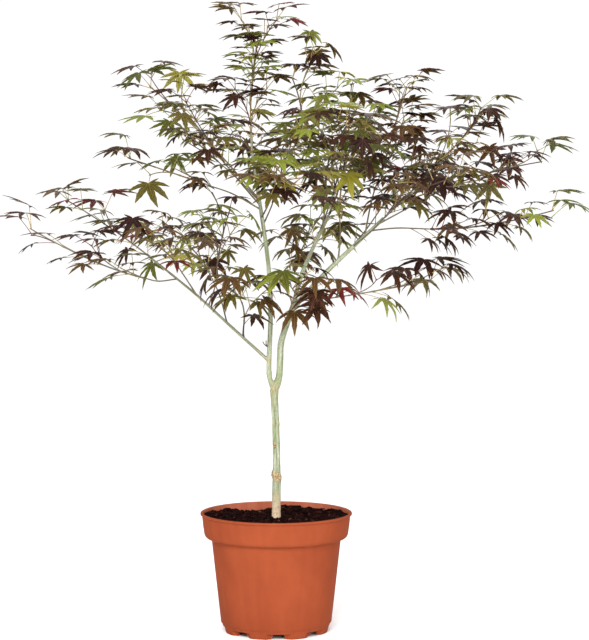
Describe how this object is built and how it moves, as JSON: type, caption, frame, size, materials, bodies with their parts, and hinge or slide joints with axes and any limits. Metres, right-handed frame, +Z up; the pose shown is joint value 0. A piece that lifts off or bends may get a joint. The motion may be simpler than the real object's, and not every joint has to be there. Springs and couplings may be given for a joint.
{
  "type": "potted japanese maple",
  "caption": "Young Japanese maple grown as an open little tree, with a slim pale trunk, forked limbs and palmate leaves, in a round plastic nursery pot of compost.",
  "frame": {"origin": "centre of the flat foot under the pot's floor, on the surface that the pot stands on", "axes": "+Z up, +X to the tree's right as seen from its front, -Y towards its front"},
  "size_m": [0.7474, 0.5236, 0.7883],
  "materials": {
    "pot": "satin",
    "compost": "matte",
    "bark": "matte",
    "twig": "matte",
    "leaf_green": "satin",
    "leaf_bronze": "satin",
    "leaf_purple": "satin"
  },
  "bodies": {
    "root": {"centre_back": "twig", "compost": "compost", "foliage_back": "leaf_green", "foliage_centre": "leaf_green", "foliage_crown": "leaf_green", "foliage_far_left": "leaf_purple", "foliage_far_left_low": "leaf_purple", "foliage_far_right": "leaf_bronze", "foliage_far_right_low": "leaf_purple", "foliage_front": "leaf_green", "foliage_left": "leaf_purple", "foliage_left_back": "leaf_green", "foliage_left_front": "leaf_green", "foliage_left_high": "leaf_purple", "foliage_left_inner": "leaf_green", "foliage_left_low_back": "leaf_bronze", "foliage_left_low_front": "leaf_purple", "foliage_low": "leaf_bronze", "foliage_low_front": "leaf_bronze", "foliage_right_back": "leaf_purple", "foliage_right_crown": "leaf_green", "foliage_right_front": "leaf_bronze", "foliage_right_high": "leaf_bronze", "foliage_right_inner": "leaf_green", "foliage_right_low": "leaf_purple", "foliage_right_low_back": "leaf_bronze", "foliage_right_low_front": "leaf_purple", "foliage_right_upper": "leaf_bronze", "foliage_top": "leaf_green", "front_twig": "twig", "inner_back": "twig", "inner_front": "twig", "leader": "bark", "leader_back": "twig", "leader_top": "bark", "left_back": "twig", "left_front": "twig", "left_low": "bark", "left_rise": "twig", "left_side": "twig", "low_twig": "twig", "outer_back": "twig", "outer_front": "twig", "outer_high": "twig", "outer_right": "twig", "pot": "pot", "right_inner": "bark", "right_low": "twig", "right_outer": "bark", "right_rise": "twig", "right_stem": "bark", "right_twig": "twig", "trunk": "bark", "whorl_front": "twig", "whorl_left": "twig", "whorl_left_back": "twig", "whorl_left_front": "twig", "whorl_left_high": "twig", "whorl_right": "twig"}
  },
  "joints": []
}
